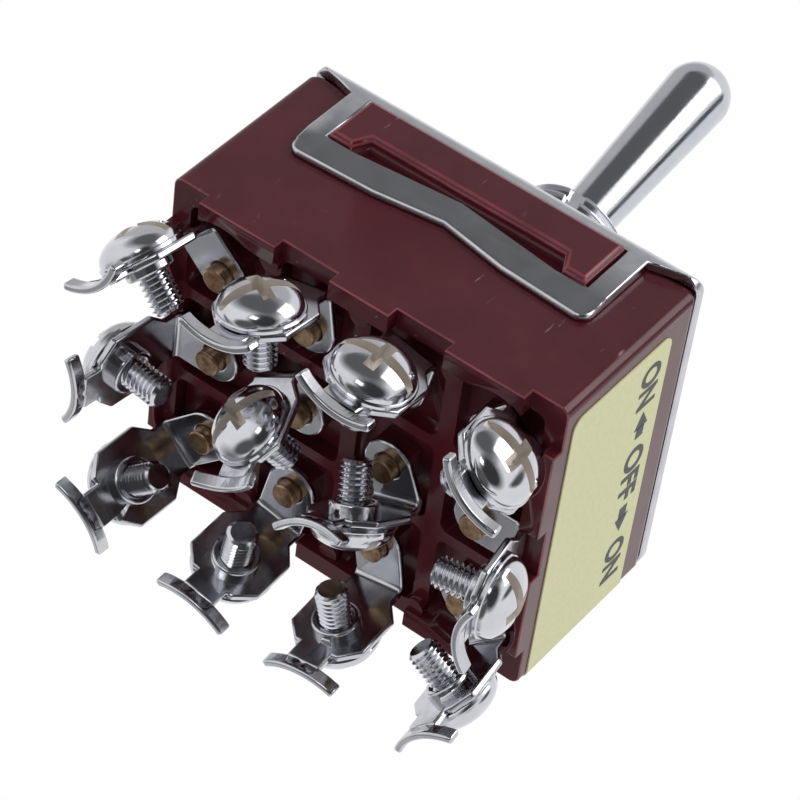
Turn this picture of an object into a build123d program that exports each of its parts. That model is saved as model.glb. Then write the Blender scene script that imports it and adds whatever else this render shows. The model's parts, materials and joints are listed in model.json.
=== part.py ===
from build123d import *
import os
from math import cos, sin, radians

# A four pole, double throw toggle switch with screw terminals.
# Frame: X runs along the four poles, Y across the three rows of terminals, +Z is up
# the toggle. The origin is the bushing axis at the top face of the mounting plate.

# Case
case_length = 40.6
case_width = 33.5
case_height = 20.1
case_corner_r = 1.0
case_end_edge_r = 1.3
case_side_edge_r = 0.8
wall = 2.0
cavity_wall = 2.0
partition = 1.2
floor_thickness = 2.8
partition_drop = 6.3
carriage_window = 16.0

# Underside of the case: rim, wire notches, ribs and terminal seats
rim_depth = 1.2
bay_depth = 1.6
rib_width = 1.6
cross_rib_width = 1.2
bay_corner_r = 0.9
seat_width = 3.6
side_notch_width = 5.7
side_notch_offset = 5.9
rib_knob_d = 1.9
rib_knob_drop = 0.4
end_notch_width = 5.3
corner_notch_x = 3.6
corner_notch_y = 4.6
corner_relief_r = 5.6
cut_margin = 0.2

# Raised pads on the two long faces, held by the loops of the frame
pad_length = 26.6
pad_proud = 1.65
pad_bottom = 7.1
pad_edge = 0.35
pad_notch_length = 21.0
pad_notch_height = 1.75
pad_notch_slant = 0.9

# Mounting frame, one folded sheet
sheet = 1.0
frame_end_inset = 0.2
frame_gap = 0.05
frame_corner_r = 2.0
frame_bend_r = 1.7
skirt_drop = 2.1
skirt_end_drop = 1.15
skirt_end_length = 1.4
loop_outer = 31.0
loop_drop = 11.1
loop_window_gap = 0.15
loop_bar = 3.0
loop_corner_r = 1.2
crimp_rise = 1.5

# Threaded bushing
bushing_d = 12.0
bushing_height = 13.4
bushing_flange_d = 15.0
bushing_flange = 1.2
bushing_edge = 0.6
shoulder_d = 14.0
shoulder_drop = 0.3
neck_d = 11.2
thread_start = 0.1
thread_pitch = 1.0
thread_depth = 0.4
thread_crest = 0.3
bushing_bore_d = 8.6
bushing_mouth_d = 8.8
throat_d = 6.9
keyway_width = 1.6
keyway_depth = 0.8

# Bat lever, its ball and its cross pin
throw_deg = 13.2
pivot_height = 8.45
ball_d = 8.2
bat_base_d = 4.8
bat_tip_d = 6.5
bat_length = 27.1
tail_d = 3.4
tail_length = 13.0
pin_d = 1.6
pin_length = 10.6
pin_clearance = 0.04

# Sliding carriage driven by the lever's tail
carriage_top = 2.6
carriage_height = 4.6
carriage_width = 7.0
carriage_end_gap = 0.1
carriage_edge = 0.5
tail_clearance = 0.15
slot_length = 4.4

# Spring plungers
plunger_d = 2.6
plunger_clearance = 0.06
plunger_head = 1.7
plunger_gap = 0.15
nose_height = 0.7
nose_flat = 0.5
spring_wire = 0.4
spring_coil_d = 1.9
spring_turns = 2.5
spring_length = 2.2
spring_gap = 0.1

# Rocker contacts
rocker_deg = 8.0
rocker_sheet = 0.8
rocker_width = 4.4
rocker_half_length = 11.0
rocker_gap = 0.1
pivot_bead_d = 0.9

# Contact rivets
pole_margin = 1.5
row_margin = 2.05
rivet_d = 2.4
rivet_proud = 1.1
contact_d = 3.4
contact_height = 0.9
hole_clearance = 0.04

# Screw terminals
foot_width = 5.0
foot_reach = 4.4
terminal_sheet = 0.7
bend_r = 0.9
blade_width = 7.8
blade_top = 2.6
blade_bottom = 9.4
blade_corner = 1.6
screw_drop = 6.3
ear_neck_width = 3.4
neck_overlap = 0.4
ear_span = 7.3
ear_height = 1.3
ear_curl = 1.1
terminal_length = 12.3
collar_d = 4.3
collar_height = 0.9

# Terminal screws
thread_d = 2.9
thread_reach = 4.8
head_d = 7.7
head_rim = 0.55
head_height = 2.6
head_shoulder_d = 5.2
head_shoulder = 1.95
head_flat_d = 2.3
slot_width = 1.0
slot_depth = 1.5
cross_length = 4.4
thread_clearance = 0.05
tip_edge = 0.4

# Rating label on one end face, wrapped round the far corner
label_thickness = 0.12
label_start = 14.7
label_top = 4.7
label_height = 14.1
label_corner_r = 1.2
label_wrap_deg = 60.0

half_length = case_length / 2
half_width = case_width / 2
frame_length = case_length - 2 * frame_end_inset
pole_pitch = (case_length - 2 * pole_margin) / 4
row_pitch = (case_width - 2 * row_margin) / 3
case_top = -sheet
rim_level = case_top - case_height
notch_level = rim_level + rim_depth
bay_level = notch_level + bay_depth
cavity_floor = bay_level + floor_thickness
pad_foot = case_top - pad_bottom
pad_top = -skirt_drop - loop_window_gap
pole_x = [(i - 1.5) * pole_pitch for i in range(4)]
row_y = [(j - 1) * row_pitch for j in range(3)]
cavity_inner_x = half_length - cavity_wall
cavity_inner_y = half_width - cavity_wall

# Azimuth of the foot and outward lean of the blade of each terminal, by row and pole.
# The terminals fan out towards the wire notches; the two in the middle lean inwards.
blade_pose = {
    (0, 0): (-137.0, 6.0),
    (0, 1): (-101.0, 7.0),
    (0, 2): (-81.0, 9.0),
    (0, 3): (-48.0, 12.0),
    (1, 0): (180.0, 6.0),
    (1, 1): (236.0, -28.0),
    (1, 2): (67.0, -27.0),
    (1, 3): (-1.0, 9.0),
    (2, 0): (135.0, 5.0),
    (2, 1): (101.0, 6.0),
    (2, 2): (79.0, 6.0),
    (2, 3): (43.0, 7.0),
}
foot_mid = notch_level - terminal_sheet / 2
rivet_end = notch_level - terminal_sheet - rivet_proud

os.makedirs("parts", exist_ok=True)


def case_body():
    """Moulded case, open at the top, with its ribbed underside and side pads."""
    with BuildPart() as case:
        with BuildSketch(Plane.XY.offset(rim_level)):
            Rectangle(case_length, case_width)
        extrude(amount=case_height)
        fillet(case.edges().filter_by(Axis.Y).group_by(Axis.Z)[-1], radius=case_end_edge_r)
        fillet(case.edges().filter_by(Axis.X).group_by(Axis.Z)[-1], radius=case_side_edge_r)
        with BuildSketch(Plane.XY.offset(rim_level)):
            RectangleRounded(case_length, case_width, case_corner_r)
        extrude(amount=case_height, mode=Mode.INTERSECT)
        # side pads with the long notch in their lower edge
        for side in (-1, 1):
            face = Plane(origin=(0, side * half_width, 0), x_dir=(-side, 0, 0), z_dir=(0, side, 0))
            with BuildSketch(face):
                with Locations((0, (pad_top + pad_foot) / 2)):
                    Rectangle(pad_length, pad_top - pad_foot)
                with BuildLine():
                    Polyline(
                        (-pad_notch_length / 2 - pad_notch_slant / 2, pad_foot),
                        (-pad_notch_length / 2 + pad_notch_slant / 2, pad_foot + pad_notch_height),
                        (pad_notch_length / 2 - pad_notch_slant / 2, pad_foot + pad_notch_height),
                        (pad_notch_length / 2 + pad_notch_slant / 2, pad_foot),
                        close=True,
                    )
                make_face(mode=Mode.SUBTRACT)
            extrude(amount=pad_proud)
            pad_face = case.faces().filter_by(Axis.Y).sort_by(Axis.Y)[-1 if side > 0 else 0]
            chamfer(pad_face.edges(), length=pad_edge)
        # four chambers above the floor
        for x in pole_x:
            left = max(x - pole_pitch / 2 + partition / 2, -cavity_inner_x)
            right = min(x + pole_pitch / 2 - partition / 2, cavity_inner_x)
            with BuildSketch(Plane.XY.offset(cavity_floor)):
                with Locations(((left + right) / 2, 0)):
                    Rectangle(right - left, 2 * cavity_inner_y)
            extrude(amount=case_top - cavity_floor, mode=Mode.SUBTRACT)
        # the partitions are cut down for the carriage
        with BuildSketch(Plane.XY.offset(case_top)):
            Rectangle(2 * cavity_inner_x, carriage_window)
        extrude(amount=-partition_drop, mode=Mode.SUBTRACT)
        # recessed underside inside the rim
        with BuildSketch(Plane.XY.offset(rim_level)):
            RectangleRounded(case_length - 2 * wall, case_width - 2 * wall, bay_corner_r)
        extrude(amount=rim_depth, mode=Mode.SUBTRACT)
        # twelve bays between the ribs
        rib_x = [side for n in range(3) for side in rib_sides(n)]
        rib_y = [side for n in range(2) for side in cross_rib_sides(n)]
        bay_x = [wall - half_length, *rib_x, half_length - wall]
        bay_y = [wall - half_width, *rib_y, half_width - wall]
        with BuildSketch(Plane.XY.offset(notch_level)):
            for i in range(4):
                for j in range(3):
                    x0, x1 = bay_x[2 * i], bay_x[2 * i + 1]
                    y0, y1 = bay_y[2 * j], bay_y[2 * j + 1]
                    with Locations(((x0 + x1) / 2, (y0 + y1) / 2)):
                        RectangleRounded(x1 - x0, y1 - y0, bay_corner_r)
        extrude(amount=bay_depth, mode=Mode.SUBTRACT)
        # rounded knobs where the ribs meet the long sides of the rim
        knob_y = half_width - wall - rib_knob_d / 4
        knob_top = rim_level + rib_knob_drop
        with BuildSketch(Plane.XY.offset(notch_level)):
            for n in range(3):
                with Locations(*[((pole_x[n] + pole_x[n + 1]) / 2, side * knob_y) for side in (-1, 1)]):
                    Circle(rib_knob_d / 2)
        extrude(amount=knob_top - notch_level)
        # square seats under the terminal feet
        with BuildSketch(Plane.XY.offset(notch_level)):
            with Locations(*[(x, y) for x in pole_x for y in row_y]):
                Rectangle(seat_width, seat_width)
        extrude(amount=bay_depth)
        # wire notches through the rim
        with BuildSketch(Plane.XY.offset(rim_level)):
            for side in (-1, 1):
                for end in (-1, 1):
                    with Locations((end * side_notch_offset, side * (half_width - wall / 2))):
                        Rectangle(side_notch_width, wall + cut_margin)
                    with Locations((end * half_length, side * half_width)):
                        Rectangle(2 * corner_notch_x, 2 * corner_notch_y)
                with Locations((side * (half_length - wall / 2), 0)):
                    Rectangle(wall + cut_margin, end_notch_width)
            with Locations(*[(x, y) for x in (pole_x[0], pole_x[3]) for y in (row_y[0], row_y[2])]):
                Circle(corner_relief_r)
        extrude(amount=rim_depth, mode=Mode.SUBTRACT)
        # rivet holes through the floor
        with BuildSketch(Plane.XY.offset(cavity_floor)):
            with Locations(*[(x, y) for x in pole_x for y in row_y]):
                Circle(rivet_d / 2 + hole_clearance)
        extrude(amount=-(floor_thickness + bay_depth), mode=Mode.SUBTRACT)
    return case


def rib_sides(n):
    """Both sides of the rib between pole n and pole n + 1."""
    middle = (pole_x[n] + pole_x[n + 1]) / 2
    return middle - rib_width / 2, middle + rib_width / 2


def cross_rib_sides(n):
    """Both sides of the cross rib between row n and row n + 1."""
    middle = (row_y[n] + row_y[n + 1]) / 2
    return middle - cross_rib_width / 2, middle + cross_rib_width / 2


case = case_body()
case.part.label = "case"
export_step(case.part, "parts/case.step")


# Mounting frame: a channel folded over the long sides, then cut out and trimmed
frame_outer_y = half_width + frame_gap + sheet
frame_side = Plane(origin=(-frame_length / 2, 0, 0), x_dir=(0, 1, 0), z_dir=(1, 0, 0))
window_half = pad_length / 2 + loop_window_gap
bar_top = loop_drop - loop_bar
with BuildPart() as mounting_frame:
    with BuildSketch(frame_side):
        with BuildLine():
            FilletPolyline(
                (-frame_outer_y + sheet / 2, -loop_drop),
                (-frame_outer_y + sheet / 2, -sheet / 2),
                (frame_outer_y - sheet / 2, -sheet / 2),
                (frame_outer_y - sheet / 2, -loop_drop),
                radius=frame_bend_r - sheet / 2,
            )
        trace(line_width=sheet)
    extrude(amount=frame_length)
    # plan outline with round corners
    with BuildSketch(Plane.XY.offset(-loop_drop - sheet)):
        RectangleRounded(frame_length, 2 * frame_outer_y, frame_corner_r)
    extrude(amount=loop_drop + 2 * sheet, mode=Mode.INTERSECT)
    # side loops: outside of the arms, the crimped bar and the window, seen along Y
    with BuildSketch(Plane.XZ.offset(-frame_outer_y)):
        for side in (-1, 1):
            with BuildLine():
                arm_end = (side * loop_outer / 2, -loop_drop + loop_corner_r)
                bar_end = (side * (loop_outer / 2 - loop_corner_r), -loop_drop)
                Polyline(
                    bar_end,
                    (side * pad_length / 4, -loop_drop + crimp_rise / 4),
                    (0, -loop_drop + crimp_rise),
                    (0, -2 * loop_drop),
                    (side * frame_length, -2 * loop_drop),
                    (side * frame_length, -skirt_end_drop),
                    (side * (frame_length / 2 - skirt_end_length), -skirt_end_drop),
                    (side * loop_outer / 2, -skirt_drop),
                    arm_end,
                )
                RadiusArc(arm_end, bar_end, side * loop_corner_r)
            make_face()
        with BuildLine():
            Polyline(
                (-window_half, -skirt_drop),
                (window_half, -skirt_drop),
                (window_half, -bar_top),
                (pad_notch_length / 2, -bar_top),
                (0, -bar_top + crimp_rise - loop_corner_r / 4),
                (-pad_notch_length / 2, -bar_top),
                (-window_half, -bar_top),
                close=True,
            )
        make_face()
    extrude(amount=2 * frame_outer_y, mode=Mode.SUBTRACT)
    with BuildSketch(Plane.XY):
        Circle(shoulder_d / 2 + frame_gap)
    extrude(amount=-sheet, mode=Mode.SUBTRACT)
mounting_frame.part.label = "mounting_frame"
export_step(mounting_frame.part, "parts/mounting_frame.step")

# Bushing, turned with a flange under the plate, a ball seat and a tapered mouth.
# Its thread is cut as rings of the same depth and pitch, above a neck that clears the nut.
ball_r = ball_d / 2
bore_r = bushing_bore_d / 2
throat_r = throat_d / 2
throat_z = pivot_height + (bore_r**2 - throat_r**2) ** 0.5
bushing_r = bushing_d / 2
root_r = bushing_r - thread_depth
flank = (thread_pitch - 2 * thread_crest) / 2
thread_turns = int((bushing_height - bushing_edge) / thread_pitch)
with BuildPart() as bushing:
    with BuildSketch(Plane.XZ):
        with BuildLine():
            Polyline(
                (bore_r, pivot_height),
                (bore_r, -sheet - bushing_flange),
                (bushing_flange_d / 2, -sheet - bushing_flange),
                (bushing_flange_d / 2, -sheet),
                (shoulder_d / 2, -sheet),
                (shoulder_d / 2, -shoulder_drop),
                (neck_d / 2, -shoulder_drop),
                (neck_d / 2, -thread_start),
                (bushing_r, -thread_start),
                (bushing_r, bushing_height - bushing_edge),
                (bushing_r - bushing_edge, bushing_height),
                (bushing_mouth_d / 2, bushing_height),
                (throat_r, throat_z),
            )
            RadiusArc((throat_r, throat_z), (bore_r, pivot_height), bore_r)
        make_face()
        for turn in range(thread_turns):
            foot = turn * thread_pitch + thread_crest
            with BuildLine():
                Polyline(
                    (bushing_r, foot),
                    (root_r, foot + flank),
                    (root_r, foot + flank + thread_crest),
                    (bushing_r, foot + 2 * flank + thread_crest),
                    close=True,
                )
            make_face(mode=Mode.SUBTRACT)
    revolve(axis=Axis.Z)
    # cross holes for the pin, drilled from inside
    with BuildSketch(Plane.YZ.offset(-pin_length / 2)):
        with Locations((0, pivot_height)):
            Circle(pin_d / 2 + pin_clearance)
    extrude(amount=pin_length, mode=Mode.SUBTRACT)
    # keyway down the side of the thread
    with BuildSketch(Plane.XY):
        with Locations((0, -bushing_r)):
            Rectangle(keyway_width, 2 * keyway_depth)
    extrude(amount=bushing_height, mode=Mode.SUBTRACT)
bushing.part.label = "bushing"
export_step(bushing.part, "parts/bushing.step")

# Bat lever, thrown towards -Y, with its ball and the tail that drives the carriage
throw = radians(throw_deg)
pivot = (0, 0, pivot_height)
lever_axis = Axis(pivot, (0, -sin(throw), cos(throw)))
lever_side = Plane(origin=pivot, x_dir=(1, 0, 0), z_dir=(0, -cos(throw), -sin(throw)))
tip_r = bat_tip_d / 2
tail_r = tail_d / 2
neck_z = (ball_r**2 - (bat_base_d / 2) ** 2) ** 0.5
waist_z = (ball_r**2 - tail_r**2) ** 0.5
with BuildPart() as lever:
    with BuildSketch(lever_side):
        with BuildLine():
            Line((0, -tail_length), (0, bat_length))
            RadiusArc((0, bat_length), (tip_r, bat_length - tip_r), tip_r)
            Line((tip_r, bat_length - tip_r), (bat_base_d / 2, neck_z))
            RadiusArc((bat_base_d / 2, neck_z), (tail_r, -waist_z), ball_r)
            Line((tail_r, -waist_z), (tail_r, tail_r - tail_length))
            RadiusArc((tail_r, tail_r - tail_length), (0, -tail_length), tail_r)
        make_face()
    revolve(axis=lever_axis)
    with BuildSketch(Plane.YZ):
        with Locations((0, pivot_height)):
            Circle(pin_d / 2 + pin_clearance)
    extrude(amount=ball_d, both=True, mode=Mode.SUBTRACT)
lever.part.label = "lever"
export_step(lever.part, "parts/lever.step")

with BuildPart() as lever_pin:
    with BuildSketch(Plane.YZ.offset(-pin_length / 2 + pin_clearance)):
        with Locations((0, pivot_height)):
            Circle(pin_d / 2)
    extrude(amount=pin_length - 2 * pin_clearance)
lever_pin.part.label = "lever_pin"
export_step(lever_pin.part, "parts/lever_pin.step")

# Carriage, standing where the tail of the thrown lever has pushed it
carriage_y = (tail_length - tail_r) * sin(throw)
carriage_bottom = -carriage_top - carriage_height
carriage_length = 2 * (cavity_inner_x - carriage_end_gap)
plunger_hole_top = carriage_bottom + spring_length + plunger_head
with BuildPart() as carriage:
    with BuildSketch(Plane.XY.offset(carriage_bottom)):
        with Locations((0, carriage_y)):
            RectangleRounded(carriage_length, carriage_width, carriage_edge)
    extrude(amount=carriage_height)
    with BuildSketch(Plane.XY.offset(-carriage_top)):
        with Locations((0, carriage_y)):
            Rectangle(slot_length, tail_d + 2 * tail_clearance)
    extrude(amount=-carriage_height, mode=Mode.SUBTRACT)
    with BuildSketch(Plane.XY.offset(carriage_bottom)):
        with Locations(*[(x, carriage_y) for x in pole_x]):
            Circle(plunger_d / 2 + plunger_clearance)
    extrude(amount=spring_length + plunger_head, mode=Mode.SUBTRACT)
carriage.part.label = "carriage"
export_step(carriage.part, "parts/carriage.step")

# Rocker contacts rest level on the +Y side, so their ridge sits above the middle rivet
contact_top = cavity_floor + contact_height
rocker_bottom = contact_top + rocker_gap
rocker_top = rocker_bottom + rocker_sheet
spring_z = plunger_hole_top - spring_gap - spring_length


def plunger(x):
    """Spring plunger with a round nose on the rocker and a shank in the carriage."""
    nose = rocker_top + plunger_gap
    radius = plunger_d / 2
    with BuildPart() as pin:
        with BuildSketch(Plane(origin=(x, carriage_y, nose), x_dir=(1, 0, 0), z_dir=(0, -1, 0))):
            with BuildLine():
                Line((0, 0), (0, spring_z - nose))
                Line((0, spring_z - nose), (radius, spring_z - nose))
                Polyline((radius, spring_z - nose), (radius, nose_height), (nose_flat, 0), (0, 0))
            make_face()
        revolve(axis=Axis((x, carriage_y, nose), (0, 0, 1)))
    return pin


def plunger_spring(x):
    """Helical spring between the plunger and the blind end of its hole."""
    coil_r = spring_coil_d / 2
    wire_r = spring_wire / 2
    base = spring_z + wire_r + spring_gap
    height = spring_length - 2 * wire_r - spring_gap
    with BuildPart() as spring:
        with BuildLine(Plane(origin=(x, carriage_y, base))) as coil:
            Helix(pitch=height / spring_turns, height=height, radius=coil_r)
        with BuildSketch(coil.line ^ 0):
            Rectangle(spring_wire, spring_wire)
        sweep(path=coil.line, is_frenet=True)
    return spring


def rocker(x):
    """Shallow V of brass strip that tips about the bead at its ridge."""
    rise = rocker_half_length * sin(radians(2 * rocker_deg))
    reach = rocker_half_length * cos(radians(2 * rocker_deg))
    with BuildPart() as strip:
        with BuildSketch(Plane.YZ.offset(x - rocker_width / 2)):
            with BuildLine():
                Polyline(
                    (rocker_half_length, rocker_bottom + rocker_sheet / 2),
                    (0, rocker_bottom + rocker_sheet / 2),
                    (-reach, rocker_bottom + rocker_sheet / 2 + rise),
                )
            trace(line_width=rocker_sheet)
            with Locations((0, rocker_bottom + rocker_sheet / 2)):
                Circle(pivot_bead_d / 2)
        extrude(amount=rocker_width)
    return strip


for i, x in enumerate(pole_x):
    tip = plunger(x)
    tip.part.label = f"plunger_{i + 1}"
    export_step(tip.part, f"parts/plunger_{i + 1}.step")
    coil = plunger_spring(x)
    coil.part.label = f"plunger_spring_{i + 1}"
    export_step(coil.part, f"parts/plunger_spring_{i + 1}.step")
    blade = rocker(x)
    blade.part.label = f"rocker_contact_{i + 1}"
    export_step(blade.part, f"parts/rocker_contact_{i + 1}.step")


def contact_rivet(x, y):
    """Brass rivet: contact head in the chamber, shank through floor and foot."""
    with BuildPart() as rivet:
        with BuildSketch(Plane.XY.offset(rivet_end)):
            with Locations((x, y)):
                Circle(rivet_d / 2)
        extrude(amount=cavity_floor - rivet_end)
        with BuildSketch(Plane.XY.offset(cavity_floor)):
            with Locations((x, y)):
                Circle(contact_d / 2)
        extrude(amount=contact_height)
    return rivet


def blade_directions(x, y, azimuth, lean):
    """Bend corner of a terminal, with its across, downward and outward directions."""
    a = radians(azimuth)
    tilt = radians(lean)
    corner = Vector(x + foot_reach * cos(a), y + foot_reach * sin(a), foot_mid)
    across = Vector(-sin(a), cos(a), 0)
    down = Vector(cos(a) * sin(tilt), sin(a) * sin(tilt), -cos(tilt))
    out = Vector(cos(a) * cos(tilt), sin(a) * cos(tilt), sin(tilt))
    return corner, across, down, out


def terminal(x, y, azimuth, lean):
    """Stamped terminal: foot, bend, octagonal blade, tapped collar and curled ears."""
    corner, across, down, out = blade_directions(x, y, azimuth, lean)
    tilt = radians(lean)
    flat = Vector(across.Y, -across.X, 0)
    blade = Plane(origin=corner, x_dir=across, z_dir=out)
    side = Plane(origin=(x, y, foot_mid), x_dir=flat, z_dir=-across)
    ear_at = corner + down * (terminal_length - ear_height)
    with BuildPart() as lug:
        with BuildSketch(side):
            with BuildLine():
                FilletPolyline(
                    (0, 0),
                    (foot_reach, 0),
                    (foot_reach + blade_top * sin(tilt), -blade_top * cos(tilt)),
                    radius=bend_r,
                )
            trace(line_width=terminal_sheet)
        extrude(amount=foot_width / 2, both=True)
        with BuildSketch(Plane.XY.offset(foot_mid)):
            with Locations((x, y)):
                Circle(foot_width / 2)
        extrude(amount=terminal_sheet / 2, both=True)
        with BuildSketch(blade):
            with BuildLine():
                Polyline(
                    (-foot_width / 2, -blade_top + blade_corner / 2),
                    (-blade_width / 2, -blade_top - blade_corner / 2),
                    (-blade_width / 2, -blade_bottom + blade_corner),
                    (-blade_width / 2 + blade_corner, -blade_bottom),
                    (blade_width / 2 - blade_corner, -blade_bottom),
                    (blade_width / 2, -blade_bottom + blade_corner),
                    (blade_width / 2, -blade_top - blade_corner / 2),
                    (foot_width / 2, -blade_top + blade_corner / 2),
                    close=True,
                )
            make_face()
            with Locations((0, -(blade_bottom + terminal_length - ear_height) / 2)):
                Rectangle(ear_neck_width, terminal_length - ear_height - blade_bottom + neck_overlap)
        extrude(amount=terminal_sheet / 2, both=True)
        with BuildSketch(Plane(origin=ear_at, x_dir=across, z_dir=down)):
            with BuildLine():
                ThreePointArc((-ear_span / 2, ear_curl), (0, 0), (ear_span / 2, ear_curl))
            trace(line_width=terminal_sheet)
        extrude(amount=ear_height)
        with BuildSketch(blade.offset(-terminal_sheet / 2)):
            with Locations((0, -screw_drop)):
                Circle(collar_d / 2)
        extrude(amount=-collar_height)
        with BuildSketch(blade.offset(terminal_sheet / 2)):
            with Locations((0, -screw_drop)):
                Circle(thread_d / 2 + thread_clearance)
        extrude(amount=-(terminal_sheet + collar_height), mode=Mode.SUBTRACT)
        with BuildSketch(Plane.XY.offset(foot_mid - terminal_sheet / 2)):
            with Locations((x, y)):
                Circle(rivet_d / 2 + hole_clearance)
        extrude(amount=terminal_sheet, mode=Mode.SUBTRACT)
    return lug


def terminal_screw(x, y, azimuth, lean):
    """Binding head screw with a slot and a cross, seated on the outside of the blade."""
    corner, across, down, out = blade_directions(x, y, azimuth, lean)
    seat = corner + down * screw_drop + out * (terminal_sheet / 2)
    radial = Plane(origin=seat, x_dir=across, z_dir=down)
    face = Plane(origin=seat, x_dir=across, z_dir=out)
    head_r = head_d / 2
    thread_r = thread_d / 2
    end = -terminal_sheet / 2 - thread_reach
    with BuildPart() as screw:
        with BuildSketch(radial):
            with BuildLine():
                Polyline(
                    (0, end),
                    (thread_r - tip_edge, end),
                    (thread_r, end + tip_edge),
                    (thread_r, 0),
                    (head_r, 0),
                    (head_r, head_rim),
                    (head_shoulder_d / 2, head_shoulder),
                    (head_flat_d / 2, head_height),
                    (0, head_height),
                    close=True,
                )
            make_face()
        revolve(axis=Axis(seat, out))
        with BuildSketch(face.offset(head_height)):
            Rectangle(slot_width, head_d)
            Rectangle(cross_length, slot_width)
        extrude(amount=-slot_depth, mode=Mode.SUBTRACT)
    return screw


for j, y in enumerate(row_y):
    for i, x in enumerate(pole_x):
        name = f"{j + 1}{'abcd'[i]}"
        azimuth, lean = blade_pose[(j, i)]
        rivet = contact_rivet(x, y)
        rivet.part.label = f"contact_rivet_{name}"
        export_step(rivet.part, f"parts/contact_rivet_{name}.step")
        lug = terminal(x, y, azimuth, lean)
        lug.part.label = f"terminal_{name}"
        export_step(lug.part, f"parts/terminal_{name}.step")
        screw = terminal_screw(x, y, azimuth, lean)
        screw.part.label = f"terminal_screw_{name}"
        export_step(screw.part, f"parts/terminal_screw_{name}.step")

# Rating label: a thin strip on the +X face that runs round the corner towards +Y
label_end = half_width - case_corner_r
label_x = half_length + label_thickness / 2
wrap = case_corner_r + label_thickness / 2
with BuildPart() as rating_label:
    with BuildSketch(Plane.XY.offset(-label_top - label_height)):
        with BuildLine():
            Line((label_x, -label_start), (label_x, label_end))
            CenterArc((half_length - case_corner_r, label_end), wrap, 0, label_wrap_deg)
        trace(line_width=label_thickness)
    extrude(amount=label_height)
    with BuildSketch(Plane.YZ.offset(half_length - case_corner_r)):
        with Locations((case_corner_r, -label_top - label_height / 2)):
            RectangleRounded(2 * label_start + 2 * case_corner_r, label_height, label_corner_r)
        with Locations((label_end, -label_top - label_height / 2)):
            Rectangle(4 * case_corner_r, label_height)
    extrude(amount=2 * case_corner_r, mode=Mode.INTERSECT)
rating_label.part.label = "rating_label"
export_step(rating_label.part, "parts/rating_label.step")
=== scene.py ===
"""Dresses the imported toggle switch: bright nickel, moulded phenolic, brass and printed paper.

The frame is in metres, with X along the poles, Y across the rows of terminals and +Z up the
toggle. Sizes in this file are millimetres until MM turns them to metres.
"""

from __future__ import annotations

import json
import logging
import math
from collections.abc import Callable, Iterator
from contextlib import contextmanager
from dataclasses import dataclass, field
from enum import Enum
from typing import Any

import bmesh
import bpy
from bpy.types import Material, Node, NodeSocket, NodeTree, Object, World
from mathutils import Matrix, Vector

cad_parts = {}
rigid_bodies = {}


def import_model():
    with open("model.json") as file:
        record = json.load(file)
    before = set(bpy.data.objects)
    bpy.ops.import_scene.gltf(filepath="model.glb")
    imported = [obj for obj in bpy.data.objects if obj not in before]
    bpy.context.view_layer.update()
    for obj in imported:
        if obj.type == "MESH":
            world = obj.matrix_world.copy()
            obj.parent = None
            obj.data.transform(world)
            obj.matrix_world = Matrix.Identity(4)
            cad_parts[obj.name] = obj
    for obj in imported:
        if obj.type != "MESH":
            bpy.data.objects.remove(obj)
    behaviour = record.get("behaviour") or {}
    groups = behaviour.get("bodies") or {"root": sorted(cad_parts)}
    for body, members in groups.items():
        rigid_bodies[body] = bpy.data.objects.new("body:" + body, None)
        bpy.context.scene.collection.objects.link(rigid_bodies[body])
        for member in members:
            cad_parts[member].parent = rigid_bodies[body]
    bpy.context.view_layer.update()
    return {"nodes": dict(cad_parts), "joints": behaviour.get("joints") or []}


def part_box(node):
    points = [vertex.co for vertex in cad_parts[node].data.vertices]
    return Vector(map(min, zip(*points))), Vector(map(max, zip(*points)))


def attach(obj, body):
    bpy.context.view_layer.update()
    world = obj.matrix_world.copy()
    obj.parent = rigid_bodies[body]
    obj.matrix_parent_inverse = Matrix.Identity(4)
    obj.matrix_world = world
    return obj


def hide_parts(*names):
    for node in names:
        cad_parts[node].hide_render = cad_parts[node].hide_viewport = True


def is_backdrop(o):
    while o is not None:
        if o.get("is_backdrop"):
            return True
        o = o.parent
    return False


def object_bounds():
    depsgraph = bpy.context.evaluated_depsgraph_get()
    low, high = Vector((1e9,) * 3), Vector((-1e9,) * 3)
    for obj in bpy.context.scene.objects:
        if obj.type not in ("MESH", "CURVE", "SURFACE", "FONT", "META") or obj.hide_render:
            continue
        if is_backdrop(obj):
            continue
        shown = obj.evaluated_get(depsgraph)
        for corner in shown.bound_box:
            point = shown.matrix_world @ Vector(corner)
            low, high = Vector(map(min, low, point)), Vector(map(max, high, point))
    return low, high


MM = 0.001
POLES = "abcd"
ROWS = "123"
# places closer than these are one point: on drawn pieces, on frame nodes, and in tests of place
DRAWN_WELD = 0.002
NODE_WELD = 0.02
SAME_PLACE = 0.01
# faces that differ by less than this many degrees are one flat
FLAT_ANGLE = 0.5
# the part of a noise factor that is spread over the whole change of colour or roughness
NOISE_LOW, NOISE_HIGH = 0.35, 0.65
# a thread's depth, the half widths of its groove and the groove's clear height, as shares of pitch
THREAD_DEPTH, ROOT_HALF, MOUTH_HALF, THREAD_CLEAR = 0.54, 0.12, 0.46, 0.04
logger = logging.getLogger("toggle_switch")

Triple = tuple[float, float, float]
EVEN: Triple = (1.0, 1.0, 1.0)


class Body(Enum):
    """Rigid bodies that dressed pieces ride on, apart from each screw's own."""

    HOUSING = "housing"
    LEVER = "lever"


class Way(Enum):
    """Which way a printed arrow points along the label."""

    LEFT = -1
    RIGHT = 1


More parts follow.
